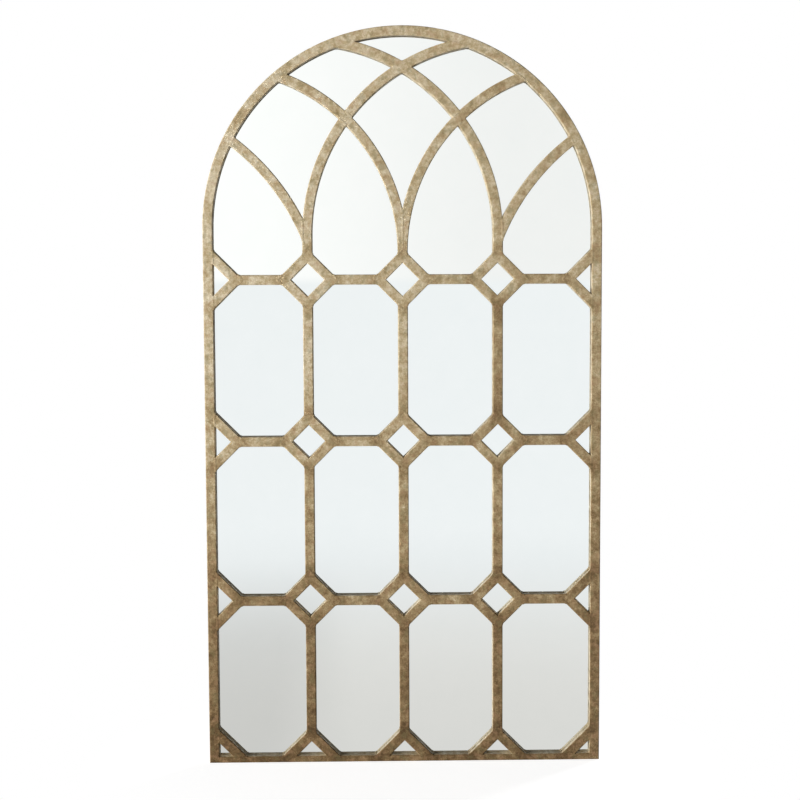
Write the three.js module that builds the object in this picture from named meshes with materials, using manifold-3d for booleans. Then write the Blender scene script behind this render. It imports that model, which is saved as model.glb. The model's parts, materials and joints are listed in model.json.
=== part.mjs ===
// Arched window mirror: a welded steel window lattice in an arched tube frame, one mirror glass
// behind it, a backing board held by turn buttons, and two ring hangers.
// Millimetres. +Z is up, the front faces -Y, and the origin is the middle of the foot face.
import * as THREE from 'three';
import { mergeVertices } from 'three/addons/utils/BufferGeometryUtils.js';
import Module from 'manifold-3d';

const wasm = await Module();
wasm.setup();

// ---- Driving dimensions ----
// Outer frame: steel tube, bent to an arch, on a lower bottom rail that is mitred to its feet.
const FRAME_WIDTH = 800;
const FRAME_HEIGHT = 1490;
const RAIL_FACE = 20;
const FOOT_FACE = 13;
const RAIL_WALL = 1.5;

// Lattice: lighter steel tube, as wide as the frame's face.
const BAR_FACE = 20;
const BAR_DEPTH = 15;
const BAR_WALL = 1.2;
const EDGE_EASE = 1.5;
const DIAMOND_REACH = 47.5;
const SIDE_SINK = 2;
const TOP_ROW_DROP = 102;
const VENT_SIZE = 4;

// Tracery arcs: where each leaves its mullion below the springing, and its radius against the arch's.
const LONG_DROP = 14;
const LONG_TIGHTER = 14;
const MIDDLE_DROP = 47;
const MIDDLE_TIGHTER = 31;
const SHORT_DROP = 23;
const SHORT_WIDER = 56;
const SHORT_LEAN = THREE.MathUtils.degToRad(21.4);

// Glass and board, laid in from behind.
const GLASS_THICKNESS = 4;
const BOARD_THICKNESS = 5;
const BOARD_RECESS = 0.4;
const EDGE_PLAY = 0.8;

// Turn buttons: riveted plates that swing over the board.
const BUTTON_REACH = 16;
const BUTTON_RADIUS = 6;
const BUTTON_THICKNESS = 1.5;
const BUTTON_LOW = 150;
const BUTTON_HIGH_DROP = 190;
const RIVET_RADIUS = 2;
const RIVET_HEAD_RADIUS = 4;
const RIVET_CROWN_RADIUS = 2.4;
const RIVET_HEAD_HEIGHT = 1.3;

// Ring hangers: a strap with a rolled knuckle, and a wire ring that swings in it.
const HANGER_DROP = 70;
const STRAP_WIDTH = 11;
const STRAP_LENGTH = 42;
const STRAP_THICKNESS = 1.5;
const STRAP_RIVET_FIRST = 22;
const STRAP_RIVET_PITCH = 13;
const RING_WIRE = 3;
const RING_SIDE_GAP = 1;
const RING_LEG = 4;

// Clearances.
const JOINT_GAP = 0.3;
const RUNNING_GAP = 0.3;

// Fineness of the curves, and how far a cutting shape runs past what it cuts.
const ARCH_STEPS = 96;
const ARC_STEP = 15;
const ROUND_STEPS = 16;
const WIRE_SIDES = 8;
const WIRE_STEPS = 24;
const OVERRUN = 5;

// The columns that carry diamonds, from -1 to 1, and the rows from 1 up. Row 0 is the foot, and the
// columns at -2 and 2 are the stiles.
const COLUMN_NAMES = ['left', 'centre', 'right'];
const ROW_NAMES = ['low', 'middle', 'high'];
const SIDE_NAMES = ['left', 'right'];

// ---- Sizes that follow ----
const HALF_WIDTH = FRAME_WIDTH / 2;
const ARCH_RADIUS = HALF_WIDTH;
const SPRINGING = FRAME_HEIGHT - ARCH_RADIUS;
const FRAME_DEPTH = BAR_DEPTH + GLASS_THICKNESS + BOARD_THICKNESS + 2 * JOINT_GAP + BOARD_RECESS;
const FRONT = -FRAME_DEPTH / 2;
const BACK = FRAME_DEPTH / 2;
const BAR_HALF = BAR_FACE / 2;
const BAR_BACK = FRONT + BAR_DEPTH;
const BAR_MIDDLE = (FRONT + BAR_BACK) / 2;
const GLASS_FRONT = BAR_BACK + JOINT_GAP;
const GLASS_BACK = GLASS_FRONT + GLASS_THICKNESS;
const BOARD_FRONT = GLASS_BACK + JOINT_GAP;
const BOARD_BACK = BOARD_FRONT + BOARD_THICKNESS;
const STILE_COLUMN = (COLUMN_NAMES.length + 1) / 2;
const COLUMN_PITCH = (HALF_WIDTH - RAIL_FACE + SIDE_SINK) / STILE_COLUMN;
const FOOT_ROW = RAIL_FACE / 2;
const TOP_ROW = ROW_NAMES.length;
const ROW_PITCH = (SPRINGING - TOP_ROW_DROP - FOOT_ROW) / TOP_ROW;
const RAIL_MIDDLE = HALF_WIDTH - RAIL_FACE / 2;
const MITRE_SLOPE = RAIL_FACE / FOOT_FACE;
const MITRE_GAP = (JOINT_GAP / 2) * Math.hypot(1, MITRE_SLOPE);

const columnX = (column) => column * COLUMN_PITCH;
const rowZ = (row) => FOOT_ROW + row * ROW_PITCH;

// ---- Solids ----
// A closed three.js geometry as a solid that can be joined and cut.
function toSolid(geometry) {
  geometry.deleteAttribute('normal');
  geometry.deleteAttribute('uv');
  const merged = mergeVertices(geometry, 1e-4);
  return new wasm.Manifold(new wasm.Mesh({
    numProp: 3,
    vertProperties: Float32Array.from(merged.attributes.position.array),
    triVerts: Uint32Array.from(merged.index.array),
  }));
}

function toMesh(name, solid, look) {
  const { vertProperties, triVerts } = solid.getMesh();
  const geometry = new THREE.BufferGeometry();
  geometry.setAttribute('position', new THREE.BufferAttribute(Float32Array.from(vertProperties), 3));
  geometry.setIndex(new THREE.BufferAttribute(Uint32Array.from(triVerts), 1));
  geometry.computeVertexNormals();
  const mesh = new THREE.Mesh(geometry, new THREE.MeshStandardMaterial(look));
  mesh.name = name;
  return mesh;
}

// An outline in X and Z made solid from front to back; ease chamfers its front and back edges.
// An arc in an outline is drawn in twice curveSegments steps.
function slab(outline, front, back, ease = 0, steps = ROUND_STEPS) {
  const geometry = new THREE.ExtrudeGeometry(outline, {
    depth: back - front - 2 * ease,
    bevelEnabled: ease > 0,
    bevelThickness: ease,
    bevelSize: ease,
    bevelOffset: -ease,
    bevelSegments: 1,
    curveSegments: steps / 2,
  });
  const upright = new THREE.Matrix4().set(1, 0, 0, 0, 0, 0, -1, back - ease, 0, 1, 0, 0, 0, 0, 0, 1);
  return toSolid(geometry.applyMatrix4(upright));
}

// A shape through points given as [x, z].
const polygon = (points) => new THREE.Shape(points.map(([x, z]) => new THREE.Vector2(x, z)));

// A disc, cylinder or rivet part, its axis along Y.
function disc(x, z, radius, front, back) {
  const geometry = new THREE.CylinderGeometry(radius, radius, back - front, ROUND_STEPS);
  return toSolid(geometry.translate(x, (front + back) / 2, z));
}

// A rivet that stands on the back of the frame: shank from `root` to the head, and a low domed head.
function rivet(x, z, root, headSeat) {
  const headMiddle = headSeat + RIVET_HEAD_HEIGHT / 2;
  const [crown, brim] = [RIVET_CROWN_RADIUS, RIVET_HEAD_RADIUS];
  const head = new THREE.CylinderGeometry(crown, brim, RIVET_HEAD_HEIGHT, ROUND_STEPS);
  head.translate(x, headMiddle, z);
  return disc(x, z, RIVET_RADIUS, root, headMiddle).add(toSolid(head));
}

// ---- Outlines ----
// The arched window's outline, drawn in by `inset` at the sides and arch and standing on `foot`.
function archOutline(inset, foot) {
  const reach = HALF_WIDTH - inset;
  const outline = new THREE.Shape();
  outline.moveTo(-reach, foot);
  outline.lineTo(reach, foot);
  outline.lineTo(reach, SPRINGING);
  outline.absarc(0, SPRINGING, reach, 0, Math.PI, false);
  outline.closePath();
  return outline;
}

// The band between two insets of the arched outline, open at the foot.
function hoopOutline(outerInset, innerInset, foot) {
  const outer = HALF_WIDTH - outerInset;
  const inner = HALF_WIDTH - innerInset;
  const outline = new THREE.Shape();
  outline.moveTo(outer, foot);
  outline.lineTo(outer, SPRINGING);
  outline.absarc(0, SPRINGING, outer, 0, Math.PI, false);
  outline.lineTo(-outer, foot);
  outline.lineTo(-inner, foot);
  outline.lineTo(-inner, SPRINGING);
  outline.absarc(0, SPRINGING, inner, Math.PI, 0, true);
  outline.lineTo(inner, foot);
  outline.closePath();
  return outline;
}

// The bottom rail's region, mitred from the frame's lower outer corners to its lower inner ones.
function mitreOutline(shift) {
  const low = -OVERRUN;
  const high = FOOT_FACE + OVERRUN;
  const below = HALF_WIDTH + shift - low * MITRE_SLOPE;
  const above = HALF_WIDTH + shift - high * MITRE_SLOPE;
  return polygon([[-below, low], [below, low], [above, high], [-above, high]]);
}

const rectangle = (x0, x1, z0, z1) => polygon([[x0, z0], [x1, z0], [x1, z1], [x0, z1]]);

// A square turned 45 degrees, given by its centre and its distance from centre to corner.
const diamondPoints = (x, z, reach) => [[x + reach, z], [x, z + reach], [x - reach, z], [x, z - reach]];

// A diamond ring whose bars have this half width about the centre line.
function ringOutline(x, z, half) {
  const outline = polygon(diamondPoints(x, z, DIAMOND_REACH + half * Math.SQRT2));
  const inner = polygon(diamondPoints(x, z, DIAMOND_REACH - half * Math.SQRT2));
  outline.holes.push(new THREE.Path(inner.getPoints()));
  return outline;
}

// ---- Tracery centre lines ----
// The turn from `start` at which a circle about (cx, cz) first meets the middle of the arch rail.
function sweepToArch(cx, cz, radius, start) {
  const away = Math.hypot(cx, cz - SPRINGING);
  const bearing = Math.atan2(cz - SPRINGING, cx);
  const spread = Math.acos((RAIL_MIDDLE ** 2 - away ** 2 - radius ** 2) / (2 * radius * away));
  const turnTo = (angle) => THREE.MathUtils.euclideanModulo(start - angle, 2 * Math.PI);
  return Math.min(turnTo(bearing + spread), turnTo(bearing - spread));
}

// A bar's centre line as points with normals: a straight foot from `foot` up to `spring`, if it has
// one, then an arc that starts at `lean` from upright and bends to `side` until it meets the arch.
// It is worked out bending to the right and mirrored for the left.
function traceryLine({ x, side, foot, spring, lean, radius }) {
  const footX = x * side;
  const cx = footX + radius * Math.cos(lean);
  const cz = spring - radius * Math.sin(lean);
  const start = Math.PI - lean;
  const sweep = sweepToArch(cx, cz, radius, start);
  const steps = Math.ceil((radius * sweep) / ARC_STEP);
  const line = foot === undefined ? [] : [{ x, z: foot, nx: -side, nz: 0 }];
  for (let i = 0; i <= steps; i++) {
    const angle = start - (sweep * i) / steps;
    line.push({
      x: side * (cx + radius * Math.cos(angle)),
      z: cz + radius * Math.sin(angle),
      nx: side * Math.cos(angle),
      nz: Math.sin(angle),
    });
  }
  return line;
}

// The outline of a bar of this half width along a centre line.
function bandOutline(line, half) {
  const outer = line.map((p) => [p.x + half * p.nx, p.z + half * p.nz]);
  const inner = line.map((p) => [p.x - half * p.nx, p.z - half * p.nz]);
  return polygon([...outer, ...inner.reverse()]);
}

// ---- Lattice pieces ----
// A tube with this outer outline; the bore is a narrower outline inside it that runs out at its cut ends.
function tube(outlineOfHalf) {
  const body = slab(outlineOfHalf(BAR_HALF), FRONT, BAR_BACK, EDGE_EASE);
  const bore = slab(outlineOfHalf(BAR_HALF - BAR_WALL), FRONT + BAR_WALL, BAR_BACK - BAR_WALL);
  return body.subtract(bore);
}

const throughBar = (outline) => slab(outline, FRONT - OVERRUN, BAR_BACK + OVERRUN);
const insideFrame = slab(
  archOutline(RAIL_FACE + JOINT_GAP, FOOT_FACE + JOINT_GAP),
  FRONT - OVERRUN,
  BACK + OVERRUN,
  0,
  ARCH_STEPS,
);

// What a bar's end is cut away by, so that it fits round a diamond's corner.
function diamondCut(column, row) {
  const reach = DIAMOND_REACH + (BAR_HALF + JOINT_GAP) * Math.SQRT2;
  return throughBar(polygon(diamondPoints(columnX(column), rowZ(row), reach)));
}

function diamond(column, row) {
  return tube((half) => ringOutline(columnX(column), rowZ(row), half));
}

// A whole ring is welded shut, so it has a small vent at the back of one bar.
function ventedDiamond(column, row) {
  const x = columnX(column) + DIAMOND_REACH / 2;
  const z = rowZ(row) - DIAMOND_REACH / 2;
  return diamond(column, row).subtract(disc(x, z, VENT_SIZE / 2, BAR_MIDDLE, BAR_BACK + OVERRUN));
}

function mullion(column, row) {
  const x = columnX(column);
  const bar = tube((half) => rectangle(x - half, x + half, rowZ(row), rowZ(row + 1)));
  return bar.subtract(diamondCut(column, row)).subtract(diamondCut(column, row + 1));
}

function transom(column, row) {
  const z = rowZ(row);
  const bar = tube((half) => rectangle(columnX(column), columnX(column + 1), z - half, z + half));
  return bar.subtract(diamondCut(column, row)).subtract(diamondCut(column + 1, row));
}

// ---- Tracery pieces ----
const long = (side) => ({
  x: -side * COLUMN_PITCH,
  side,
  foot: rowZ(TOP_ROW),
  spring: SPRINGING - LONG_DROP,
  lean: 0,
  radius: ARCH_RADIUS - LONG_TIGHTER,
});
const middle = (side) => ({
  x: 0,
  side,
  foot: rowZ(TOP_ROW),
  spring: SPRINGING - MIDDLE_DROP,
  lean: 0,
  radius: ARCH_RADIUS - MIDDLE_TIGHTER,
});
const short = (side) => ({
  x: side * COLUMN_PITCH,
  side,
  spring: SPRINGING - SHORT_DROP,
  lean: SHORT_LEAN,
  radius: ARCH_RADIUS + SHORT_WIDER,
});

function arc(trace, column) {
  const line = traceryLine(trace);
  const bar = tube((half) => bandOutline(line, half));
  return bar.intersect(insideFrame).subtract(diamondCut(column, TOP_ROW));
}

// The room for another arc that crosses this one, over the front or the back half of the depth.
const crossing = (trace, front, back) =>
  slab(bandOutline(traceryLine(trace), BAR_HALF + JOINT_GAP), front, back);
const frontLap = (trace) => crossing(trace, FRONT - OVERRUN, BAR_MIDDLE + JOINT_GAP / 2);
const backLap = (trace) => crossing(trace, BAR_MIDDLE - JOINT_GAP / 2, BAR_BACK + OVERRUN);

// The long arcs run under the middle arcs, and the left one runs over the right one.
function longArc(side) {
  const other = side > 0 ? backLap(long(-side)) : frontLap(long(-side));
  return arc(long(side), -side).subtract(frontLap(middle(-side))).subtract(other);
}

// The two middle arcs lie side by side on the middle mullion, parted down its centre.
function middleArc(side) {
  const half = throughBar(rectangle(side * JOINT_GAP / 2, side * HALF_WIDTH, 0, FRAME_HEIGHT));
  return arc(middle(side), 0).intersect(half).subtract(backLap(long(-side)));
}

// The short arcs are coped on to the side of the long ones.
function shortArc(side) {
  return arc(short(side), side).subtract(crossing(long(-side), FRONT - OVERRUN, BAR_BACK + OVERRUN));
}

// ---- Frame, glass and board ----
const BUTTONS = [
  { name: 'low_left', x: -RAIL_MIDDLE, z: BUTTON_LOW, turn: 0 },
  { name: 'low_right', x: RAIL_MIDDLE, z: BUTTON_LOW, turn: Math.PI },
  { name: 'high_left', x: -RAIL_MIDDLE, z: SPRINGING - BUTTON_HIGH_DROP, turn: 0 },
  { name: 'high_right', x: RAIL_MIDDLE, z: SPRINGING - BUTTON_HIGH_DROP, turn: Math.PI },
  { name: 'top', x: 0, z: SPRINGING + RAIL_MIDDLE, turn: -Math.PI / 2 },
];
const BUTTON_FRONT = BACK + JOINT_GAP;
const BUTTON_BACK = BUTTON_FRONT + BUTTON_THICKNESS;
const STRAP_FRONT = BACK + JOINT_GAP;
const STRAP_BACK = STRAP_FRONT + STRAP_THICKNESS;
const HANGER_Z = SPRINGING - HANGER_DROP;
const strapRivets = [0, 1].map((i) => HANGER_Z - STRAP_RIVET_FIRST - i * STRAP_RIVET_PITCH);

function outerHoop() {
  const body = slab(hoopOutline(0, RAIL_FACE, -OVERRUN), FRONT, BACK, EDGE_EASE, ARCH_STEPS);
  const boreOutline = hoopOutline(RAIL_WALL, RAIL_FACE - RAIL_WALL, -2 * OVERRUN);
  const bore = slab(boreOutline, FRONT + RAIL_WALL, BACK - RAIL_WALL, 0, ARCH_STEPS);
  const mitre = slab(mitreOutline(MITRE_GAP), FRONT - OVERRUN, BACK + OVERRUN);
  let hoop = body.subtract(bore).subtract(mitre);
  for (const { x, z } of BUTTONS) {
    hoop = hoop.add(rivet(x, z, BACK - RAIL_WALL, BUTTON_BACK + RUNNING_GAP));
  }
  for (const x of [-RAIL_MIDDLE, RAIL_MIDDLE]) {
    for (const z of strapRivets) {
      hoop = hoop.subtract(disc(x, z, RIVET_RADIUS + JOINT_GAP, BACK - 2 * RAIL_WALL, BACK + OVERRUN));
    }
  }
  return hoop;
}

function bottomRail() {
  const over = HALF_WIDTH + OVERRUN;
  const body = slab(rectangle(-over, over, 0, FOOT_FACE), FRONT, BACK, EDGE_EASE);
  const boreOutline = rectangle(-over - OVERRUN, over + OVERRUN, RAIL_WALL, FOOT_FACE - RAIL_WALL);
  const bore = slab(boreOutline, FRONT + RAIL_WALL, BACK - RAIL_WALL);
  const mitre = slab(mitreOutline(-MITRE_GAP), FRONT - OVERRUN, BACK + OVERRUN);
  return body.subtract(bore).intersect(mitre);
}

const pane = (front, back) =>
  slab(archOutline(RAIL_FACE + EDGE_PLAY, FOOT_FACE + JOINT_GAP), front, back, 0, ARCH_STEPS);

// ---- Turn buttons and hangers ----
// A plate with round ends; it points along +X at turn 0.
function turnButton({ x, z, turn }) {
  const tipX = x + BUTTON_REACH * Math.cos(turn);
  const tipZ = z + BUTTON_REACH * Math.sin(turn);
  const outline = new THREE.Shape();
  outline.absarc(tipX, tipZ, BUTTON_RADIUS, turn - Math.PI / 2, turn + Math.PI / 2, false);
  outline.absarc(x, z, BUTTON_RADIUS, turn + Math.PI / 2, turn + (3 * Math.PI) / 2, false);
  outline.closePath();
  const bore = disc(x, z, RIVET_RADIUS + RUNNING_GAP, BACK, BUTTON_BACK + OVERRUN);
  return slab(outline, BUTTON_FRONT, BUTTON_BACK).subtract(bore);
}

const KNUCKLE_BORE = RING_WIRE / 2 + RUNNING_GAP;
const KNUCKLE_RADIUS = KNUCKLE_BORE + STRAP_THICKNESS;
const RING_AXIS_Y = STRAP_FRONT + KNUCKLE_RADIUS;

// The strap seen from its side, in Y and Z: a flat leg that rolls over into the knuckle.
function strap(x) {
  const rollStart = Math.atan2(-Math.sqrt(KNUCKLE_RADIUS ** 2 - KNUCKLE_BORE ** 2), -KNUCKLE_BORE);
  const profile = new THREE.Shape();
  profile.moveTo(STRAP_FRONT, HANGER_Z - STRAP_LENGTH);
  profile.lineTo(STRAP_BACK, HANGER_Z - STRAP_LENGTH);
  profile.absarc(RING_AXIS_Y, HANGER_Z, KNUCKLE_RADIUS, rollStart, Math.PI, false);
  profile.closePath();
  const eye = new THREE.Path();
  eye.absarc(RING_AXIS_Y, HANGER_Z, KNUCKLE_BORE, 0, 2 * Math.PI, true);
  profile.holes.push(eye);
  const geometry = new THREE.ExtrudeGeometry(profile, {
    depth: STRAP_WIDTH,
    bevelEnabled: false,
    curveSegments: ROUND_STEPS / 2,
  });
  const sideways = new THREE.Matrix4().set(0, 0, 1, x - STRAP_WIDTH / 2, 1, 0, 0, 0, 0, 1, 0, 0, 0, 0, 0, 1);
  let solid = toSolid(geometry.applyMatrix4(sideways));
  for (const z of strapRivets) {
    solid = solid.add(rivet(x, z, BACK - 2 * RAIL_WALL, STRAP_BACK));
  }
  return solid;
}

// The hanging ring: wire bent to a D, its two ends meeting inside the knuckle.
function ring(x) {
  const reach = STRAP_WIDTH / 2 + RING_SIDE_GAP + RING_WIRE / 2;
  const bend = RING_SIDE_GAP + RING_WIRE / 2;
  const bow = HANGER_Z - bend - RING_LEG;
  const route = new THREE.Path();
  route.moveTo(x + JOINT_GAP, HANGER_Z);
  route.lineTo(x + reach - bend, HANGER_Z);
  route.absarc(x + reach - bend, HANGER_Z - bend, bend, Math.PI / 2, 0, true);
  route.lineTo(x + reach, bow);
  route.absarc(x, bow, reach, 0, -Math.PI, true);
  route.lineTo(x - reach, HANGER_Z - bend);
  route.absarc(x - reach + bend, HANGER_Z - bend, bend, Math.PI, Math.PI / 2, true);
  route.lineTo(x - JOINT_GAP, HANGER_Z);
  const points = route.getSpacedPoints(2 * WIRE_STEPS).map((p) => new THREE.Vector3(p.x, RING_AXIS_Y, p.y));
  const section = new THREE.Shape();
  section.absarc(0, 0, RING_WIRE / 2, 0, 2 * Math.PI, false);
  return toSolid(new THREE.ExtrudeGeometry(section, {
    extrudePath: new THREE.CatmullRomCurve3(points),
    steps: WIRE_STEPS,
    curveSegments: WIRE_SIDES / 2,
  }));
}

// ---- Assembly ----
const gilt = { color: 0xa38f68, roughness: 0.5, metalness: 0.6 };
const silvered = { color: 0xf2f4f4, roughness: 0.03, metalness: 1 };
const hardboard = { color: 0x4a3a2a, roughness: 0.85, metalness: 0 };
const zinc = { color: 0xb8b8b2, roughness: 0.35, metalness: 0.9 };

const mirror = new THREE.Group();
const place = (name, solid, look) => mirror.add(toMesh(name, solid, look));

place('outer_hoop', outerHoop(), gilt);
place('bottom_rail', bottomRail(), gilt);
for (const [below, rowName] of ROW_NAMES.entries()) {
  const row = below + 1;
  for (const [i, columnName] of COLUMN_NAMES.entries()) {
    const column = i + 1 - STILE_COLUMN;
    place(`diamond_${rowName}_${columnName}`, ventedDiamond(column, row), gilt);
    place(`mullion_${rowName}_${columnName}`, mullion(column, below), gilt);
  }
  for (let bay = 1; bay <= 2 * STILE_COLUMN; bay++) {
    place(`transom_${rowName}_${bay}`, transom(bay - 1 - STILE_COLUMN, row), gilt);
  }
}
for (const [i, columnName] of COLUMN_NAMES.entries()) {
  place(`foot_chevron_${columnName}`, diamond(i + 1 - STILE_COLUMN, 0).intersect(insideFrame), gilt);
}
for (const [i, sideName] of SIDE_NAMES.entries()) {
  const side = 2 * i - 1;
  for (const [below, rowName] of ROW_NAMES.entries()) {
    const vee = diamond(side * STILE_COLUMN, below + 1).intersect(insideFrame);
    place(`side_vee_${rowName}_${sideName}`, vee, gilt);
  }
  place(`corner_brace_${sideName}`, diamond(side * STILE_COLUMN, 0).intersect(insideFrame), gilt);
  place(`short_arc_${sideName}`, shortArc(side), gilt);
  place(`middle_arc_${sideName}`, middleArc(side), gilt);
  place(`long_arc_from_${sideName}`, longArc(-side), gilt);
  place(`hanger_strap_${sideName}`, strap(side * RAIL_MIDDLE), zinc);
  place(`hanger_ring_${sideName}`, ring(side * RAIL_MIDDLE), zinc);
}
place('mirror_glass', pane(GLASS_FRONT, GLASS_BACK), silvered);
place('backing_board', pane(BOARD_FRONT, BOARD_BACK), hardboard);
for (const button of BUTTONS) {
  place(`turn_button_${button.name}`, turnButton(button), zinc);
}

export default mirror;
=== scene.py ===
"""Arched window mirror in a welded steel frame with an antique gilt finish: how each surface looks.

Metres, +Z up, the front faces -Y, and the origin is the middle of the foot face.
"""
import json
from math import acos, atan2, cos, hypot, pi, radians, sin, sqrt

import bmesh
import bpy
import numpy as np
from mathutils import Matrix, Vector


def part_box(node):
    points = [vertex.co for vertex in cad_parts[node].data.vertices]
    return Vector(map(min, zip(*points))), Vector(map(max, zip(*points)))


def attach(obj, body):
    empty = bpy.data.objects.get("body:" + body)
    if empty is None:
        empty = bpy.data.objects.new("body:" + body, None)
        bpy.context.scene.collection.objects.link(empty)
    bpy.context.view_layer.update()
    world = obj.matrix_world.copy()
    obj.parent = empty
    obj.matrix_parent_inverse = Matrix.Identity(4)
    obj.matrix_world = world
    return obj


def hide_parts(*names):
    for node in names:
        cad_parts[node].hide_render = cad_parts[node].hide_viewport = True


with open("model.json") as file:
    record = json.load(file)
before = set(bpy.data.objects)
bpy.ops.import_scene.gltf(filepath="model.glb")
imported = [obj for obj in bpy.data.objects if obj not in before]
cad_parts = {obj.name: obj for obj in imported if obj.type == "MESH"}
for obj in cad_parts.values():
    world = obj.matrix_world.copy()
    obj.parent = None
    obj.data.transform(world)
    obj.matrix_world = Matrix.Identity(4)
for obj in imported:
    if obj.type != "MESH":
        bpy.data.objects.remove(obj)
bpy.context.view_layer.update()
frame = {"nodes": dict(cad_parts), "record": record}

# ---- Sizes taken from the frame ----
FOOT = 0.0
HALF_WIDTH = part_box("outer_hoop")[1].x
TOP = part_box("outer_hoop")[1].z
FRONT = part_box("mullion_low_centre")[0].y
BAR_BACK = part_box("mullion_low_centre")[1].y
FRAME_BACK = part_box("bottom_rail")[1].y
BAR_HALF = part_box("mullion_low_centre")[1].x
RAIL_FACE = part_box("bottom_rail")[1].z
SPRINGING = TOP - HALF_WIDTH


def centre_of(node):
    """Middle of a CAD node's box in X and Z."""
    low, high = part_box(node)
    return (low.x + high.x) / 2, (low.z + high.z) / 2


DIAMOND_CORNER = (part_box("diamond_low_centre")[1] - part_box("diamond_low_centre")[0]).x / 2
DIAMOND_INNER = DIAMOND_CORNER - 2 * sqrt(2) * BAR_HALF
COLUMN_PITCH = centre_of("diamond_low_right")[0]
ROW_ONE = centre_of("diamond_low_centre")[1]
ROW_PITCH = centre_of("diamond_middle_centre")[1] - ROW_ONE
FOOT_ROW = ROW_ONE - ROW_PITCH

# Tracery, as in the solids: each kind of arc leaves a column of the grid, the long one the column on
# the other side. Its circle springs below the arch's own springing and differs from it in radius.
ARCS = {
    "long": {"column": -1, "drop": 0.014, "radius": HALF_WIDTH - 0.014, "lean": 0.0},
    "middle": {"column": 0, "drop": 0.047, "radius": HALF_WIDTH - 0.031, "lean": 0.0},
    "short": {"column": 1, "drop": 0.023, "radius": HALF_WIDTH + 0.056, "lean": radians(21.4)},
}
HOOP_INNER = HALF_WIDTH - 2 * BAR_HALF
HOOP_CENTRE = (0.0, SPRINGING)

# ---- Camera and light ----
LENS = 73.90
SENSOR = 36.0
CAMERA_PLACE = (-0.0664, -3.3125, 1.0273)
CAMERA_PITCH = radians(-4.881)
CAMERA_YAW = radians(1.034)
CAMERA_ROLL = radians(-0.2486)
LAMP_AIM = (0, 0, 0.8)


def make_camera():
    """A camera turned by yaw about +Z, then pitched, then rolled about its own line of sight."""
    ahead = Vector((
        sin(CAMERA_YAW) * cos(CAMERA_PITCH),
        cos(CAMERA_YAW) * cos(CAMERA_PITCH),
        sin(CAMERA_PITCH),
    ))
    level = Vector((cos(CAMERA_YAW), -sin(CAMERA_YAW), 0))
    above = level.cross(ahead)
    right = cos(CAMERA_ROLL) * level + sin(CAMERA_ROLL) * above
    up = -sin(CAMERA_ROLL) * level + cos(CAMERA_ROLL) * above
    data = bpy.data.cameras.new("camera")
    data.lens = LENS
    data.sensor_width = SENSOR
    camera = bpy.data.objects.new("camera", data)
    camera.matrix_world = Matrix((right, up, -ahead)).transposed().to_4x4()
    camera.location = CAMERA_PLACE
    bpy.context.scene.collection.objects.link(camera)
    bpy.context.scene.camera = camera


def make_lamp(name, place, size, power):
    """A white lamp that is aimed at the middle of the mirror and does not show in it."""
    data = bpy.data.lights.new(name, "AREA")
    data.shape = "RECTANGLE"
    data.size, data.size_y = size
    data.energy = power
    lamp = bpy.data.objects.new(name, data)
    lamp.visible_glossy = False
    lamp.location = place
    lamp.rotation_mode = "QUATERNION"
    lamp.rotation_quaternion = (Vector(LAMP_AIM) - Vector(place)).to_track_quat("-Z", "Y")
    bpy.context.scene.collection.objects.link(lamp)


# ---- Shader maths ----
class Field:
    """A socket's value over a surface, with the usual signs for sums and powers."""

    def __init__(self, finish, socket):
        self.finish = finish
        self.socket = socket

    def _maths(self, operation, *values):
        return self.finish.node("Math", values, operation=operation)

    def __add__(self, other):
        return self._maths("ADD", self, other)

    def __sub__(self, other):
        return self._maths("SUBTRACT", self, other)

    def __rsub__(self, other):
        return self._maths("SUBTRACT", other, self)

    def __mul__(self, other):
        return self._maths("MULTIPLY", self, other)

    def __truediv__(self, other):
        return self._maths("DIVIDE", self, other)

    __radd__ = __add__

    def __abs__(self):
        return self._maths("ABSOLUTE", self)

    def __pow__(self, other):
        return self._maths("POWER", self, other)

    def least(self, other):
        return self._maths("MINIMUM", self, other)

    def most(self, other):
        return self._maths("MAXIMUM", self, other)


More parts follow.
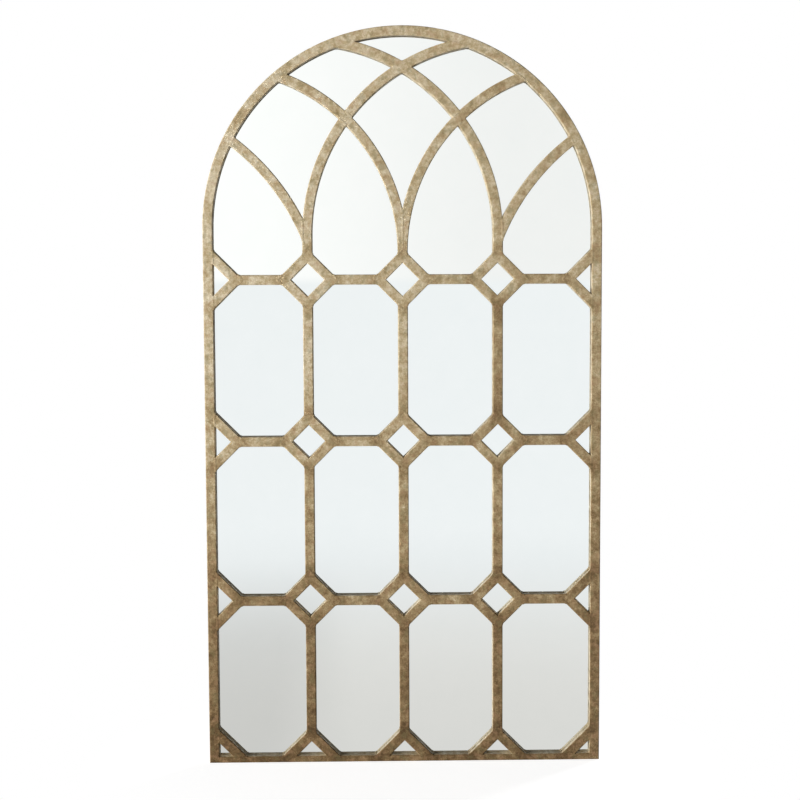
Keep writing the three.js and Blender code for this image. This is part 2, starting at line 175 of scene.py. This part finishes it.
class Finish:
    """The node tree of a material or of the world, and the few nodes that finishes are made of."""

    def __init__(self, tree):
        self.tree = tree
        self.tree.nodes.clear()

    def node(self, kind, values=(), output=0, stops=None, **settings):
        """Adds a node, sets its settings and then its sockets by number or name, and gives an output."""
        made = self.tree.nodes.new("ShaderNode" + kind)
        for key, value in settings.items():
            setattr(made, key, value)
        if stops:
            marks = made.color_ramp.elements
            while len(marks) < len(stops):
                marks.new(1.0)
            for mark, (place, colour) in zip(marks, stops):
                mark.position = place
                mark.color = (*colour, 1)
        pairs = values.items() if isinstance(values, dict) else enumerate(values)
        for key, value in pairs:
            socket = made.inputs[key]
            if isinstance(value, Field):
                self.tree.links.new(value.socket, socket)
            else:
                socket.default_value = value
        return Field(self, made.outputs[output])

    def place(self):
        """X, Y and Z on the surface, in metres in the row frame, and the point itself."""
        point = self.node("TexCoord", output="Object")
        return [self.node("SeparateXYZ", [point], output=i) for i in range(3)] + [point]

    def noise(self, point, size, detail=2.0, roughness=0.5, stretch=(1, 1, 1)):
        """Soft noise from 0 to 1 with features of about this size, in metres."""
        if stretch != (1, 1, 1):
            point = self.node("VectorMath", [point, stretch], operation="MULTIPLY")
        values = {"Vector": point, "Scale": 1 / size, "Detail": detail, "Roughness": roughness}
        return self.node("TexNoise", values)

    def shifted(self, point, by):
        return self.node("VectorMath", [point, by], operation="ADD")

    def wrapped(self, value, period):
        """The value folded into one period about 0."""
        return self.node("Math", [value, -period / 2, period / 2], operation="WRAP")

    def cells(self, point, size):
        """Distance from the middle of the nearest cell, for cells of about this size, in metres."""
        values = {"Vector": point, "Scale": 1 / size}
        return self.node("TexVoronoi", values, output="Distance", feature="F1")

    def rise(self, value, low, high, bottom=0.0, top=1.0):
        """Goes smoothly from bottom to top as the value goes from low to high."""
        values = {"Value": value, "From Min": low, "From Max": high, "To Min": bottom, "To Max": top}
        return self.node("MapRange", values, interpolation_type="SMOOTHSTEP")

    def ramp(self, value, stops):
        return self.node("ValToRGB", [value], stops=stops)

    def blend(self, share, first, second):
        """One colour mixed into another, by a share from 0 to 1."""
        values = {"Factor": share, "A": as_colour(first), "B": as_colour(second)}
        values = {MIX_SOCKETS[key]: value for key, value in values.items()}
        return self.node("Mix", values, output=2, data_type="RGBA", blend_type="MIX")

    def bump(self, height, depth, strength):
        return self.node("Bump", {"Height": height, "Distance": depth, "Strength": strength})

    def surface(self, **sockets):
        """The Principled shader, with its sockets named as words joined by underscores."""
        return self.node("BsdfPrincipled", {key.replace("_", " "): v for key, v in sockets.items()})

    def output(self, shader, kind="OutputMaterial"):
        made = self.tree.nodes.new("ShaderNode" + kind)
        self.tree.links.new(shader.socket, made.inputs["Surface"])


# The Mix node has several sockets of each name, and these are the ones for colours.
MIX_SOCKETS = {"Factor": 0, "A": 6, "B": 7}


def as_colour(value):
    return value if isinstance(value, Field) else (*value, 1)


def shade(red, green, blue):
    """A colour given in 0-255 screen values, as the linear values that shaders take."""
    parts = [value / 255 for value in (red, green, blue)]
    return tuple(p / 12.92 if p <= 0.04045 else ((p + 0.055) / 1.055) ** 2.4 for p in parts)


def new_material(name):
    material = bpy.data.materials.new(name)
    material.use_nodes = True
    return material, Finish(material.node_tree)


# ---- Finishes ----
UMBER = shade(56, 42, 30)
BRONZE = shade(100, 79, 53)
OLIVE_GOLD = shade(129, 105, 73)
CHAMPAGNE = shade(159, 136, 100)
WARM_GOLD = shade(185, 166, 130)
PALE_GOLD = shade(207, 192, 162)
CREAM_GOLD = shade(229, 218, 194)
ROSE_BROWN = shade(174, 138, 106)
MOSS_GREY = shade(120, 112, 78)

# Tone of the gilding, from 0 dark to 1 pale: in the middle of the foot, what the top adds as painted
# light, and how much the right side differs from the left at the foot and at the top, painted light from
# the upper left. The bars' sides have one pale tone, a painted highlight.
FOOT_TONE = 0.35
TOP_PAINTED_LIGHT = 0.395
FOOT_PAINTED_SLOPE = 0.07
TOP_PAINTED_SLOPE = -0.10
SIDE_PAINTED_HIGHLIGHT = 0.90
SIDE_FROM = FRONT + 0.0008
SIDE_TO = FRONT + 0.0022

# One mullion is darker than the rest, the upper one on the right, and the lowest transoms are paler.
DARK_BAR = 0.14
PALE_BAR = 0.09
BAR_FADE = 0.06
STAIN = 0.16
STAIN_CORE = 0.006
STAIN_REACH = 0.025


def gilt_finish():
    """Champagne leaf dabbed over a bronze base, with painted light: paler towards the top left where the
    light falls, darker and browner at the foot, and pale sides as a painted highlight.
    """
    material, f = new_material("antique_gilt")
    x, y, z, point = f.place()
    patches = f.noise(point, 0.018, detail=3, roughness=0.6)
    dabs = f.noise(f.shifted(point, (3.1, 1.7, 5.3)), 0.007, detail=2)
    tints = f.noise(f.shifted(point, (7.7, 2.9, 0.4)), 0.012, detail=2)
    grain = f.noise(point, 0.0024, detail=3, roughness=0.65)
    # Painted light: paler towards the top and the upper left where the light falls, darker and browner at
    # the foot.
    across = x / (2 * HALF_WIDTH)
    height = f.rise(z - across.most(0) * 0.3, -0.1, 0.97)
    tone = FOOT_TONE + height * TOP_PAINTED_LIGHT + across * (FOOT_PAINTED_SLOPE + height * (TOP_PAINTED_SLOPE - FOOT_PAINTED_SLOPE))
    # Painted highlight: the bars' sides are lifted to one pale tone, for the light on their lit sides.
    tone = tone + f.rise(y, SIDE_FROM, SIDE_TO) * (SIDE_PAINTED_HIGHLIGHT - tone)
    tone = tone + (patches - 0.5) * 0.62 + (dabs - 0.5) * 0.42
    tone = tone + (grain - 0.5) * f.rise(z, 1.15, 0.7, 0.46, 0.72)
    tone = tone - joint_stain(f, x, z) * f.rise(patches, 0.3, 0.6, 0.2, 1.0) * STAIN
    row_two = ROW_ONE + ROW_PITCH
    tone = tone - one_bar(f, x - COLUMN_PITCH, z, row_two, row_two + ROW_PITCH) * DARK_BAR
    tone = tone + one_bar(f, z - ROW_ONE, x, -COLUMN_PITCH, 2 * COLUMN_PITCH) * PALE_BAR
    colour = f.ramp(tone, [
        (0.0, UMBER), (0.22, BRONZE), (0.40, OLIVE_GOLD), (0.56, CHAMPAGNE),
        (0.70, WARM_GOLD), (0.84, PALE_GOLD), (1.0, CREAM_GOLD),
    ])
    colour = f.blend(f.rise(tints, 0.54, 0.72, 0, 0.34), colour, ROSE_BROWN)
    colour = f.blend(f.rise(tints, 0.46, 0.32, 0, 0.36), colour, MOSS_GREY)
    # Darker towards the back of the frame, behind the depth of the bars, in dabs.
    back_darkening = f.rise(y, BAR_BACK, FRAME_BACK, 0, 0.35) * f.rise(dabs, 0.3, 0.6, 0.6, 1.0)
    colour = f.blend(back_darkening, colour, UMBER)
    normal = f.bump(patches * 0.35 + dabs * 0.25 + grain * 0.4, 0.0008, 0.4)
    f.output(f.surface(
        Base_Color=colour, Metallic=0.25, Roughness=f.rise(dabs, 0.3, 0.7, 0.6, 0.44),
        Normal=normal, Specular_IOR_Level=0.35,
    ))
    return material


def one_bar(f, aside, along, start, end):
    """1 on one bar of the grid, `aside` from its centre line, falling to 0 at its ends."""
    near = f.rise(abs(aside), 2 * BAR_HALF, BAR_HALF)
    return near * f.rise(along, start, start + BAR_FADE) * f.rise(along, end, end - BAR_FADE)


def joint_stain(f, x, z):
    """1 at the corners of the diamonds, where the bars are welded on, falling to 0 over 25 mm.

    The grid repeats, so the place is folded into one quarter of one cell about the nearest diamond.
    """
    along_x = abs(f.wrapped(x, COLUMN_PITCH))
    along_z = abs(f.wrapped(z - FOOT_ROW, ROW_PITCH))
    outward = along_x.most(along_z) - DIAMOND_CORNER + BAR_HALF / 2
    sideways = along_x.least(along_z)
    return f.rise((outward * outward + sideways * sideways) ** 0.5, STAIN_CORE, STAIN_REACH, 1, 0)


def mirror_finish():
    """Silvered glass, faintly green, with a very faint cloud."""
    material, f = new_material("mirror_silver")
    point = f.place()[-1]
    cloud = f.noise(point, 0.05, detail=4, roughness=0.6)
    colour = f.blend(cloud, shade(252, 254, 253), shade(248, 251, 250))
    f.output(f.surface(Base_Color=colour, Metallic=1.0, Roughness=0.0))
    return material


def board_finish():
    """Hardboard: brown pressed fibre with a dull, slightly pitted face and a few rubbed streaks."""
    material, f = new_material("backing_hardboard")
    point = f.place()[-1]
    fibre = f.noise(point, 0.003, detail=6, roughness=0.7, stretch=(1, 1, 0.45))
    cloud = f.noise(point, 0.09, detail=3)
    streaks = f.noise(point, 0.02, detail=4, stretch=(1, 1, 0.06))
    specks = f.cells(point, 0.0045)
    colour = f.ramp(fibre * 0.6 + cloud * 0.4, [
        (0.3, shade(92, 68, 46)), (0.5, shade(120, 92, 64)), (0.7, shade(146, 114, 82)),
    ])
    colour = f.blend(f.rise(specks, 0.22, 0.10, 0, 0.35), colour, shade(62, 46, 32))
    colour = f.blend(f.rise(streaks, 0.60, 0.72, 0, 0.30), colour, shade(168, 138, 104))
    normal = f.bump(fibre, 0.0004, 0.5)
    f.output(f.surface(Base_Color=colour, Roughness=f.rise(fibre, 0.3, 0.7, 0.78, 0.6), Normal=normal))
    return material


def zinc_finish():
    """Zinc plate: cloudy crystals, rubbed a little, with dull grey in the hollows."""
    material, f = new_material("zinc_steel")
    point = f.place()[-1]
    crystal = f.cells(point, 0.004)
    cloud = f.noise(point, 0.006, detail=3)
    scratches = f.noise(point, 0.0016, detail=4, stretch=(1, 1, 9))
    colour = f.ramp(crystal * 0.5 + cloud * 0.5, [
        (0.2, shade(150, 152, 150)), (0.5, shade(182, 184, 180)), (0.8, shade(204, 204, 198)),
    ])
    normal = f.bump(scratches, 0.0001, 0.3)
    f.output(f.surface(
        Base_Color=colour, Metallic=0.85, Roughness=f.rise(scratches, 0.3, 0.7, 0.3, 0.48), Normal=normal,
    ))
    return material


# ---- Floor and world ----
FLOOR_REACH = 14.0
FLOOR_GREY = 0.6
FLOOR_LIFT = 0.79
FLOOR_FADE = (0.2, 0.6)

# What shows in the mirror: the floor from the foot outwards, the room above it from left to right, and
# the height of a line of sight at which one gives way to the other.
MIRRORED_NEAR = 0.70
MIRRORED_FAR = 0.918
MIRRORED_LEFT = 1.035
MIRRORED_RIGHT = 0.91
NEAR_TINT = (1.0, 0.985, 0.955)
FAR_TINT = (0.975, 0.998, 1.01)
ROOM_TINT = (1, 1, 0.99)
SKIRTING = (-0.016, -0.009)
LEFT_DIM = 0.14
AMBIENT = 0.11


def in_mirror(f):
    """1 for what is seen in the mirror, and 0 for light that the mirror throws on the bars."""
    singular = f.node("LightPath", output="Is Singular Ray")
    return singular * (1 - f.node("LightPath", output="Diffuse Depth").least(1))


def make_floor():
    """A pale floor that keeps the shadow near the foot and fades to white further out."""
    material, f = new_material("floor")
    x, y = f.place()[:2]
    away = (x * x * 0.8 + y * y) ** 0.5
    camera = f.node("LightPath", output="Is Camera Ray")
    singular = in_mirror(f)
    pale = f.node("BsdfDiffuse", {"Color": (FLOOR_GREY, FLOOR_GREY, FLOOR_GREY, 1)})
    lift = f.node("Emission", {"Color": (1, 1, 1, 1), "Strength": FLOOR_LIFT})
    near = f.node("AddShader", [pale, lift])
    white = f.node("Emission", {"Color": (1, 1, 1, 1), "Strength": 1.0})
    seen = f.node("MixShader", [f.rise(away, *FLOOR_FADE), near, white])
    level = f.rise(away, -0.3, 3.2, MIRRORED_NEAR, MIRRORED_FAR)
    level = level * (1 - f.rise(x, -0.08, -0.32) * f.rise(away, 2.4, 1.0) * LEFT_DIM)
    tint = f.blend(f.rise(away, 0.4, 2.4), NEAR_TINT, FAR_TINT)
    mirrored = f.node("Emission", {"Color": tint, "Strength": level})
    plain = f.node("BsdfDiffuse", {"Color": (0.8, 0.8, 0.79, 1)})
    unseen = f.node("MixShader", [singular, plain, mirrored])
    f.output(f.node("MixShader", [camera, unseen, seen]))
    corners = [(-1, -1), (1, -1), (1, 1), (-1, 1)]
    mesh = bpy.data.meshes.new("floor")
    mesh.from_pydata([(a * FLOOR_REACH, b * FLOOR_REACH, FOOT) for a, b in corners], [], [(0, 1, 2, 3)])
    mesh.materials.append(material)
    floor = bpy.data.objects.new("floor", mesh)
    bpy.context.scene.collection.objects.link(floor)


def make_world():
    """White behind, a soft white room in the mirror, and a low even light on everything else."""
    world = bpy.data.worlds.new("world")
    world.use_nodes = True
    bpy.context.scene.world = world
    f = Finish(world.node_tree)
    direction = f.node("TexCoord", output="Generated")
    aside, lift = (f.node("SeparateXYZ", [direction], output=k) for k in (0, 2))
    camera = f.node("LightPath", output="Is Camera Ray")
    singular = in_mirror(f)
    high = f.rise(lift, *SKIRTING)
    room = f.rise(aside, -0.1, 0.1, MIRRORED_LEFT, MIRRORED_RIGHT)
    mirrored = MIRRORED_FAR + high * (room - MIRRORED_FAR)
    strength = AMBIENT + singular * (mirrored - AMBIENT)
    strength = strength + camera * (1 - strength)
    tint = f.blend(high, FAR_TINT, ROOM_TINT)
    colour = f.blend(singular, (1, 1, 1), tint)
    f.output(f.node("Background", {"Color": colour, "Strength": strength}), "OutputWorld")


# ---- Meshes ----
RECORD = frame["record"]
BODY_OF = {node: body for body, nodes in RECORD["behaviour"]["bodies"].items() for node in nodes}
SLOT_OF = {row["node"]: row["material_slot"] for row in RECORD["subparts"]}


def add_piece(name, mesh, body, slot):
    """Puts a mesh in the scene as a piece of the object that rides on a body."""
    mesh.materials.clear()
    mesh.materials.append(SLOT_FINISH[slot])
    piece = bpy.data.objects.new(name, mesh)
    bpy.context.scene.collection.objects.link(piece)
    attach(piece, body)
    return piece


def loft(centres, first, second, reach_first, reach_second):
    """A closed tube along a path, as its points and faces.

    The point at angle t of a ring is centre + first * cos t * reach_first + second * sin t * reach_second.
    Each ring is joined to the next by four-sided faces, and a flat face closes each end.
    """
    count, sides = reach_first.shape
    turn = np.linspace(0, 2 * pi, sides, endpoint=False)
    points = (
        centres[:, None]
        + first[:, None] * (np.cos(turn) * reach_first)[..., None]
        + second[:, None] * (np.sin(turn) * reach_second)[..., None]
    ).reshape(-1, 3)
    ring = np.arange(count - 1)[:, None] * sides
    side = np.arange(sides)
    after = (side + 1) % sides
    quads = np.stack([ring + side, ring + after, ring + sides + after, ring + sides + side], -1)
    faces = quads.reshape(-1, 4).tolist()
    faces.append(side[::-1].tolist())
    faces.append((side + (count - 1) * sides).tolist())
    middle = points.mean(axis=0)
    a, b, c = (points[quads.reshape(-1, 4)[:, k]] - middle for k in range(3))
    if np.einsum("ij,ij->", np.cross(a, b), c) < 0:
        faces = [face[::-1] for face in faces]
    return points, faces


def mesh_from(name, parts):
    """One smooth mesh of several closed shapes, each given as its points and faces."""
    points = np.concatenate([part[0] for part in parts])
    starts = np.cumsum([0] + [len(part[0]) for part in parts])
    faces = [[start + i for i in face] for start, part in zip(starts, parts) for face in part[1]]
    mesh = bpy.data.meshes.new(name)
    mesh.from_pydata(points.tolist(), [], faces)
    mesh.polygons.foreach_set("use_smooth", [True] * len(faces))
    mesh.update()
    return mesh


# ---- Softened CAD pieces ----
SHARP = radians(30)
FLAT = radians(0.4)
MERGE = 1e-6
GILT_EASE = 0.0006
ZINC_EASE = 0.0003


def soften(node, width):
    """A piece like a CAD node, with its edges rounded by a small bevel and its curves shaded smooth."""
    source = frame["nodes"][node]
    work = bmesh.new()
    work.from_mesh(source.data)
    bmesh.ops.remove_doubles(work, verts=work.verts, dist=MERGE)
    bmesh.ops.dissolve_limit(work, angle_limit=FLAT, verts=work.verts, edges=work.edges)
    for edge in work.edges:
        edge.smooth = edge.calc_face_angle(0.0) < SHARP
    for face in work.faces:
        face.smooth = True
    mesh = bpy.data.meshes.new(f"{node}_eased")
    work.to_mesh(mesh)
    work.free()
    piece = add_piece(f"{node}_eased", mesh, BODY_OF[node], SLOT_OF[node])
    bevel = piece.modifiers.new("eased edges", "BEVEL")
    bevel.width = width
    bevel.segments = 2
    bevel.limit_method = "ANGLE"
    bevel.angle_limit = SHARP
    bevel.harden_normals = True
    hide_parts(node)


# ---- Welds ----
SEAM_STEP = 0.0009
BEAD_SIDES = 10
BEAD_HALF = 0.0023
BEAD_RISE = 0.00022
BEAD_SINK = 0.0017
BEAD_SHIFT = 0.0006
TIP_CROSS = 0.0008
FILLET = 0.0012
FILLET_RINGS = 16
FILLET_SIDES = 8


def spaced(points):
    """Points at even steps along a line of straight stretches."""
    points = np.asarray(points, float)
    lengths = np.concatenate([[0], np.cumsum(np.hypot(*np.diff(points, axis=0).T))])
    steps = np.linspace(0, lengths[-1], max(4, round(lengths[-1] / SEAM_STEP)))
    return np.stack([np.interp(steps, lengths, points[:, k]) for k in (0, 1)], 1)


def bead(points, half=BEAD_HALF, rise=BEAD_RISE):
    """A weld bead on the front face, along points in X and Z.

    Its section is a flat ellipse: `half` wide each side, proud by `rise`, sunk by BEAD_SINK. Along the
    bead the section swells by a few per cent in two waves, and it closes in at both ends.
    """
    line = spaced(points)
    along = np.gradient(line, axis=0)
    along /= np.hypot(*along.T)[:, None]
    share = np.linspace(-1, 1, len(line))
    run = share * len(line) * SEAM_STEP / 2
    phase = 900 * (line[0, 0] + line[0, 1])
    swell = 1 + 0.09 * np.sin(run / 0.0009 + phase) + 0.06 * np.sin(run / 0.0023 + 2 * phase)
    size = swell * np.sqrt(np.clip(1 - share ** 8, 0.02, 1))
    turn = np.linspace(0, 2 * pi, BEAD_SIDES, endpoint=False)
    centres = np.stack([line[:, 0], np.full(len(line), FRONT), line[:, 1]], 1)
    sideways = np.stack([along[:, 1], np.zeros(len(line)), -along[:, 0]], 1)
    outward = np.tile([0.0, -1.0, 0.0], (len(line), 1))
    height = np.where(np.sin(turn) > 0, rise, BEAD_SINK)
    return loft(centres, sideways, outward, half * size[:, None] + 0 * turn, height * size[:, None])


def fillet(x, z):
    """A weld down the depth of a bar, in the inner corner where two pieces meet.

    A round rod along Y of radius FILLET, which swells a little in a wave.
    """
    depth = np.linspace(FRONT + 0.0008, BAR_BACK - 0.0002, FILLET_RINGS)
    radius = FILLET * (1 + 0.12 * np.sin(depth / 0.0008 + 700 * (x + z)))
    radius[[0, -1]] *= 0.6
    centres = np.stack([np.full(FILLET_RINGS, x), depth, np.full(FILLET_RINGS, z)], 1)
    first = np.tile([1.0, 0.0, 0.0], (FILLET_RINGS, 1))
    second = np.tile([0.0, 0.0, 1.0], (FILLET_RINGS, 1))
    reach = np.repeat(radius[:, None], FILLET_SIDES, axis=1)
    return loft(centres, first, second, reach, reach)


def vee_welds(x, z, turn):
    """The welds where a bar's end fits round a diamond's corner, which points `turn` from +X."""
    def placed(outward, sideways):
        return (
            x + outward * cos(turn) - sideways * sin(turn),
            z + outward * sin(turn) + sideways * cos(turn),
        )
    tip = DIAMOND_CORNER - BEAD_SHIFT * sqrt(2)
    foot = tip - BAR_HALF
    parts = []
    for side in (-1, 1):
        parts.append(bead([placed(tip + TIP_CROSS, -side * TIP_CROSS), placed(foot, side * BAR_HALF)]))
    for side in (-1, 1):
        parts.append(fillet(*placed(foot + BEAD_SHIFT * 0.8, side * (BAR_HALF + 0.0001))))
    return parts


def straight_welds(ends, shift):
    """The weld along a straight seam between two ends, moved by `shift` towards the eased edge."""
    moved = [(x + shift[0], z + shift[1]) for x, z in ends]
    return [bead(moved)] + [fillet(*end) for end in ends]


def arc_circle(kind, side):
    """Centre and radius of the centre line of an arc that bends towards `side`."""
    facts = ARCS[kind]
    radius, lean = facts["radius"], facts["lean"]
    centre = (
        side * (facts["column"] * COLUMN_PITCH + radius * cos(lean)),
        SPRINGING - facts["drop"] - radius * sin(lean),
    )
    return centre, radius


def meeting(centre, radius, other_centre, other_radius):
    """The upper of the two points where two circles meet."""
    dx, dz = other_centre[0] - centre[0], other_centre[1] - centre[1]
    apart = hypot(dx, dz)
    ahead = (radius ** 2 - other_radius ** 2 + apart ** 2) / (2 * apart)
    aside = sqrt(radius ** 2 - ahead ** 2)
    points = []
    for s in (-1, 1):
        x = centre[0] + (ahead * dx + s * aside * dz) / apart
        points.append((x, centre[1] + (ahead * dz - s * aside * dx) / apart))
    return max(points, key=lambda point: point[1])


def circle_welds(centre, radius, other, shift):
    """The weld along a circle where the band of an arc, `other`, crosses it or ends on it."""
    ends = [meeting(centre, radius, other[0], other[1] + s * BAR_HALF) for s in (-1, 1)]
    angles = [atan2(z - centre[1], x - centre[0]) for x, z in ends]
    turn = np.linspace(angles[0], angles[1], 24)
    near = radius + shift
    line = np.stack([centre[0] + near * np.cos(turn), centre[1] + near * np.sin(turn)], 1)
    return [bead(line)] + [fillet(*end) for end in ends]


def foot_on_long(side):
    """The weld where a short arc's foot is coped on to the outer edge of the long arc beside it."""
    (cx, cz), radius = arc_circle("long", -side)
    (sx, sz), short_radius = arc_circle("short", side)
    top = meeting((cx, cz), radius + BAR_HALF, (sx, sz), short_radius + BAR_HALF)[1]
    edge = COLUMN_PITCH + BAR_HALF
    reach = sqrt((short_radius - BAR_HALF) ** 2 - (abs(sx) - edge) ** 2)
    heights = np.linspace(sz + reach, top, 40)
    above = np.clip(heights - cz, 0, None)
    across = side * (cx * side + np.sqrt((radius + BAR_HALF - BEAD_SHIFT) ** 2 - above ** 2))
    line = np.stack([across, heights], 1)
    upper = fillet(across[-1] + side * BEAD_SHIFT, heights[-1])
    return [bead(line), fillet(side * edge, heights[0]), upper]


def make_welds():
    """All the welds of the lattice, joined into one piece for each part of the window."""
    lattice, sides, foot, tracery = [], [], [], []
    quarter = pi / 2
    inset = 2 * COLUMN_PITCH - HOOP_INNER
    rail = RAIL_FACE - FOOT_ROW
    for row in (1, 2, 3):
        z = FOOT_ROW + row * ROW_PITCH
        for column in (-1, 0, 1):
            for turn in range(4):
                lattice += vee_welds(column * COLUMN_PITCH, z, turn * quarter)
        for side in (-1, 1):
            x = side * 2 * COLUMN_PITCH
            sides += vee_welds(x, z, pi if side > 0 else 0)
            for up in (-1, 1):
                reaches = (DIAMOND_INNER - inset, DIAMOND_CORNER - inset)
                ends = [(side * HOOP_INNER, z + up * reach) for reach in reaches]
                sides += straight_welds(ends, (side * BEAD_SHIFT, 0))
    for column in (-1, 0, 1):
        x = column * COLUMN_PITCH
        foot += vee_welds(x, FOOT_ROW, quarter)
        for side in (-1, 1):
            ends = [(x + side * (reach - rail), RAIL_FACE) for reach in (DIAMOND_INNER, DIAMOND_CORNER)]
            foot += straight_welds(ends, (0, -BEAD_SHIFT))
    for side in (-1, 1):
        x = side * 2 * COLUMN_PITCH
        ends = [(x - side * (reach - rail), RAIL_FACE) for reach in (DIAMOND_INNER, DIAMOND_CORNER)]
        foot += straight_welds(ends, (0, -BEAD_SHIFT))
        ends = [(side * HOOP_INNER, FOOT_ROW + reach - inset) for reach in (DIAMOND_INNER, DIAMOND_CORNER)]
        foot += straight_welds(ends, (side * BEAD_SHIFT, 0))
        mitre = [(side * (HALF_WIDTH - 0.001), 0.001), (side * HOOP_INNER, RAIL_FACE)]
        foot.append(bead(mitre, half=0.0009, rise=0.0001))
        for kind in ARCS:
            tracery += circle_welds(HOOP_CENTRE, HOOP_INNER, arc_circle(kind, side), BEAD_SHIFT)
        tracery += foot_on_long(side)
        over, radius = arc_circle("middle", side)
        for edge in (-1, 1):
            inward = -edge * BEAD_SHIFT
            tracery += circle_welds(over, radius + edge * BAR_HALF, arc_circle("long", -side), inward)
    over, radius = arc_circle("long", 1)
    for edge in (-1, 1):
        tracery += circle_welds(over, radius + edge * BAR_HALF, arc_circle("long", -1), -edge * BEAD_SHIFT)
    (cx, cz), radius = arc_circle("middle", 1)
    parting = cz + (radius + BAR_HALF) * sin(acos(cx / (radius + BAR_HALF)))
    top_diamond = FOOT_ROW + 3 * ROW_PITCH + DIAMOND_CORNER
    tracery.append(bead([(0, top_diamond), (0, parting + 0.001)], half=0.0019))
    groups = {"lattice": lattice, "side": sides, "foot": foot, "tracery": tracery}
    for name, parts in groups.items():
        mesh = mesh_from(f"{name}_welds", parts)
        add_piece(f"{name}_welds", mesh, "frame", "antique_gilt")


# ---- Hanging rings and rivet heads ----
RING_SIDES = 20
RING_STEPS = 160
RING_BEND = 0.0025
RING_SPLIT = 0.0003
RIVET_HEAD = 0.00415
RIVET_CROWN = 0.00155
RIVET_RIM = 0.0002
RIVET_PLAY = 0.0003
RIVET_SIDES = 28
RIVET_RINGS = 9


def hanging_ring(name):
    """The D-shaped wire ring, a round section swept along it.

    The route goes from the knuckle's middle out along the bar, down a leg, round the bow, which is a
    half circle, and back; its upper corners are quarter circles.
    """
    low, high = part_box(name)
    wire = (high.y - low.y) / 2
    middle, axis_y = (low.x + high.x) / 2, (low.y + high.y) / 2
    reach = (high.x - low.x) / 2 - wire
    bar_z = high.z - wire
    bow_z = low.z + wire + reach
    bend = RING_BEND
    quarter = np.linspace(0, pi / 2, 16)
    half = np.linspace(0, pi, 60)
    corner = np.stack([reach - bend + bend * np.sin(quarter), bar_z - bend + bend * np.cos(quarter)], 1)
    bow = np.stack([reach * np.cos(half), bow_z - reach * np.sin(half)], 1)
    back = corner[::-1] * [-1, 1]
    outline = np.concatenate([[[RING_SPLIT, bar_z]], corner, bow, back, [[-RING_SPLIT, bar_z]]])
    lengths = np.concatenate([[0], np.cumsum(np.hypot(*np.diff(outline, axis=0).T))])
    run = np.linspace(0, lengths[-1], RING_STEPS)
    route = np.stack([np.interp(run, lengths, outline[:, k]) for k in (0, 1)], 1)
    along = np.gradient(route, axis=0)
    along /= np.hypot(*along.T)[:, None]
    centres = np.stack([middle + route[:, 0], np.full(RING_STEPS, axis_y), route[:, 1]], 1)
    sideways = np.stack([along[:, 1], np.zeros(RING_STEPS), -along[:, 0]], 1)
    outward = np.tile([0.0, 1.0, 0.0], (RING_STEPS, 1))
    reach_all = np.full((RING_STEPS, RING_SIDES), wire)
    reach_all[[0, -1]] *= 0.8
    mesh = mesh_from(f"{name}_wire", [loft(centres, sideways, outward, reach_all, reach_all)])
    piece = add_piece(f"{name}_wire", mesh, BODY_OF[name], SLOT_OF[name])
    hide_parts(name)


def rivet_dome(x, seat, z):
    """A rivet's head on the back: half an ellipse turned about Y, with a short upright rim."""
    swing = np.linspace(0, pi / 2 - 0.04, RIVET_RINGS)
    radius = np.concatenate([[RIVET_HEAD * 0.99], RIVET_HEAD * np.cos(swing)])
    height = np.concatenate([[0], RIVET_RIM + RIVET_CROWN * np.sin(swing)])
    count = len(radius)
    centres = np.stack([np.full(count, x), seat + height, np.full(count, z)], 1)
    first = np.tile([1.0, 0.0, 0.0], (count, 1))
    second = np.tile([0.0, 0.0, 1.0], (count, 1))
    reach = np.repeat(radius[:, None], RIVET_SIDES, axis=1)
    return loft(centres, first, second, reach, reach)


def make_rivets():
    """Domed zinc heads of the rivets that the turn buttons turn on."""
    heads = []
    for node in BODY_OF:
        if node.startswith("turn_button"):
            low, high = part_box(node)
            turned = high.z - low.z > high.x - low.x
            radius = min(high.x - low.x, high.z - low.z) / 2
            x = 0.0 if turned else (low.x + radius if low.x < -HOOP_INNER else high.x - radius)
            z = high.z - radius if turned else (low.z + high.z) / 2
            heads.append(rivet_dome(x, high.y + RIVET_PLAY, z))
    return mesh_from("rivet_heads", heads)


# ---- Making it all ----
make_camera()
make_world()
make_floor()
make_lamp("key", place=(-8.1, -5.25, 0.9), size=(3.4, 1.6), power=1630)
make_lamp("rear", place=(2.8, 3.0, 1.6), size=(1.6, 1.6), power=185)

GILT = gilt_finish()
MIRROR = mirror_finish()
BOARD = board_finish()
ZINC = zinc_finish()
SLOT_FINISH = {
    "antique_gilt": GILT,
    "mirror_silver": MIRROR,
    "backing_hardboard": BOARD,
    "zinc_steel": ZINC,
}
for name in ("mirror_glass", "backing_board"):
    for place in frame["nodes"][name].material_slots:
        place.material = SLOT_FINISH[SLOT_OF[name]]
for name, slot in SLOT_OF.items():
    if name.startswith("hanger_ring"):
        hanging_ring(name)
    elif slot == "antique_gilt":
        soften(name, GILT_EASE)
    elif slot == "zinc_steel":
        soften(name, ZINC_EASE)
make_welds()
add_piece("rivet_heads", make_rivets(), "frame", "zinc_steel")

bpy.context.scene.view_settings.view_transform = "Standard"
